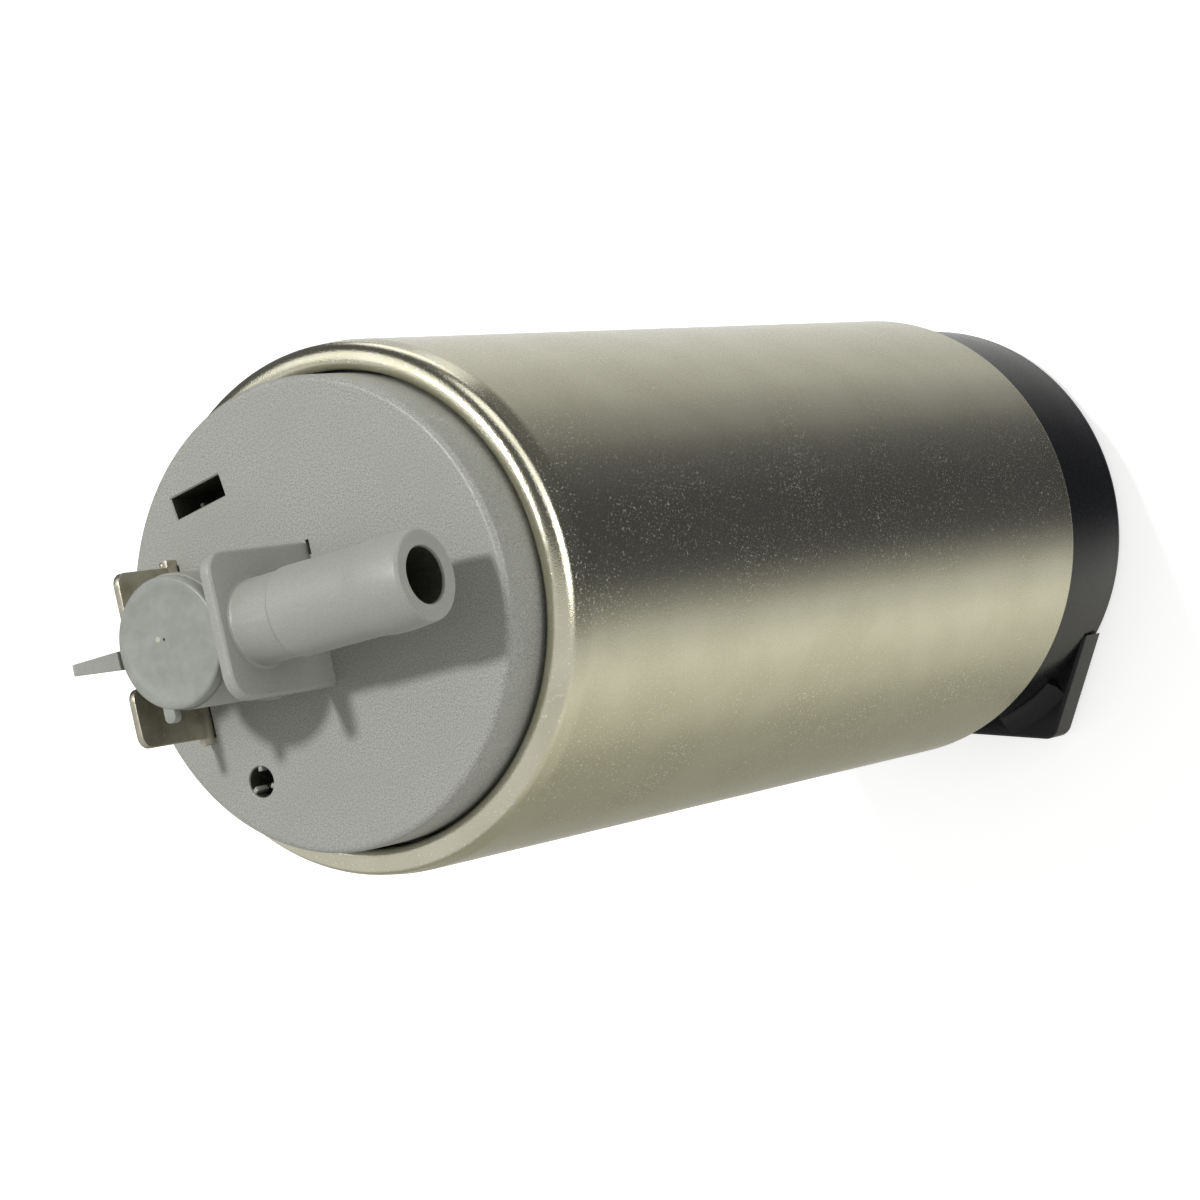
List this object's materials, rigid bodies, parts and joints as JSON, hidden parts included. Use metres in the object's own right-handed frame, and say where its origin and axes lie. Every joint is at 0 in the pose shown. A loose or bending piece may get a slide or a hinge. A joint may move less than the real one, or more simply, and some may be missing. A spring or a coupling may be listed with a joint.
{
  "type": "fuel pump",
  "caption": "In-tank electric fuel pump: satin steel can, grey outlet cap with a side hose nipple and blade terminals, black inlet cover with a corner lug.",
  "frame": {"origin": "on the pump's axis in the plane of the inlet cover's foot rim and hub", "axes": "+Z along the pump's axis to the outlet cap, +X along the outlet nipple"},
  "size_m": [0.043, 0.0446, 0.1163],
  "materials": {
    "nickel_plated_steel": "satin plated sheet steel",
    "grey_plastic": "glass-filled moulding, fine speckle",
    "plug_plastic": "smooth moulding",
    "black_plastic": "semi-gloss moulding",
    "tinned_brass": "dull tin plate",
    "rubber_black": "moulded fuel-proof rubber",
    "ground_steel": "ground",
    "sintered_bronze": "sintered",
    "phenolic_brown": "moulded resin",
    "carbon_black": "pressed carbon",
    "electrical_steel": "laminated",
    "enamelled_copper": "resin-coated wire",
    "ferrite_grey": "ground ferrite",
    "spring_steel": "drawn wire",
    "acetal_white": "moulded"
  },
  "bodies": {
    "housing": {"pump_can": "nickel_plated_steel", "outlet_cap": "grey_plastic", "tower_plug": "plug_plastic", "inlet_cover": "black_plastic", "terminal_positive": "tinned_brass", "terminal_negative": "tinned_brass", "cover_seal": "rubber_black", "cap_seal": "rubber_black", "pump_casing": "black_plastic", "thrust_button": "ground_steel", "locating_pin": "ground_steel", "lower_bush": "sintered_bronze", "upper_bush": "sintered_bronze", "flux_ring": "electrical_steel", "magnet_right": "ferrite_grey", "magnet_left": "ferrite_grey", "magnet_clip_rear": "spring_steel", "magnet_clip_front": "spring_steel", "bearing_holder": "acetal_white", "brush_spring_left": "spring_steel", "brush_spring_right": "spring_steel", "brush_lead_left": "enamelled_copper", "brush_lead_right": "enamelled_copper", "choke_core_left": "ferrite_grey", "choke_core_right": "ferrite_grey", "choke_coil_left": "enamelled_copper", "choke_coil_right": "enamelled_copper", "bus_strip_positive": "tinned_brass", "bus_strip_negative": "tinned_brass", "check_spring": "spring_steel", "relief_seat": "tinned_brass", "relief_spring": "spring_steel"},
    "rotor": {"shaft": "ground_steel", "impeller": "phenolic_brown", "armature_core": "electrical_steel", "core_insulator_lower": "acetal_white", "core_insulator_upper": "acetal_white", "armature_windings": "enamelled_copper", "commutator_hub": "phenolic_brown", "commutator_ring": "carbon_black", "thrust_washer": "acetal_white", "rotor_spacer": "acetal_white"},
    "left_brush": {"brush_left": "carbon_black"},
    "right_brush": {"brush_right": "carbon_black"},
    "check_valve": {"check_poppet": "acetal_white", "check_seal": "rubber_black"},
    "relief_valve": {"relief_ball": "ground_steel"}
  },
  "joints": [
    {"name": "rotor_spin", "type": "hinge", "parent": "housing", "child": "rotor", "pos_m": [0, 0, 0.05], "axis": [0, 0, 1], "continuous": true},
    {"name": "left_brush_slide", "type": "slide", "parent": "housing", "child": "left_brush", "axis": [0, 0, 1], "range_m": [0, 0.0025], "stiffness_N_per_m": 120, "springref_m": -0.004, "deforming": ["brush_spring_left", "brush_lead_left"]},
    {"name": "right_brush_slide", "type": "slide", "parent": "housing", "child": "right_brush", "axis": [0, 0, 1], "range_m": [0, 0.0025], "stiffness_N_per_m": 120, "springref_m": -0.004, "deforming": ["brush_spring_right", "brush_lead_right"]},
    {"name": "check_valve_lift", "type": "slide", "parent": "housing", "child": "check_valve", "axis": [0, 0, 1], "range_m": [0, 0.002], "stiffness_N_per_m": 60, "springref_m": -0.002, "deforming": ["check_spring"]},
    {"name": "relief_valve_lift", "type": "slide", "parent": "housing", "child": "relief_valve", "axis": [0, 0, 1], "range_m": [0, 0.001], "stiffness_N_per_m": 2000, "springref_m": -0.001, "deforming": ["relief_spring"]}
  ]
}
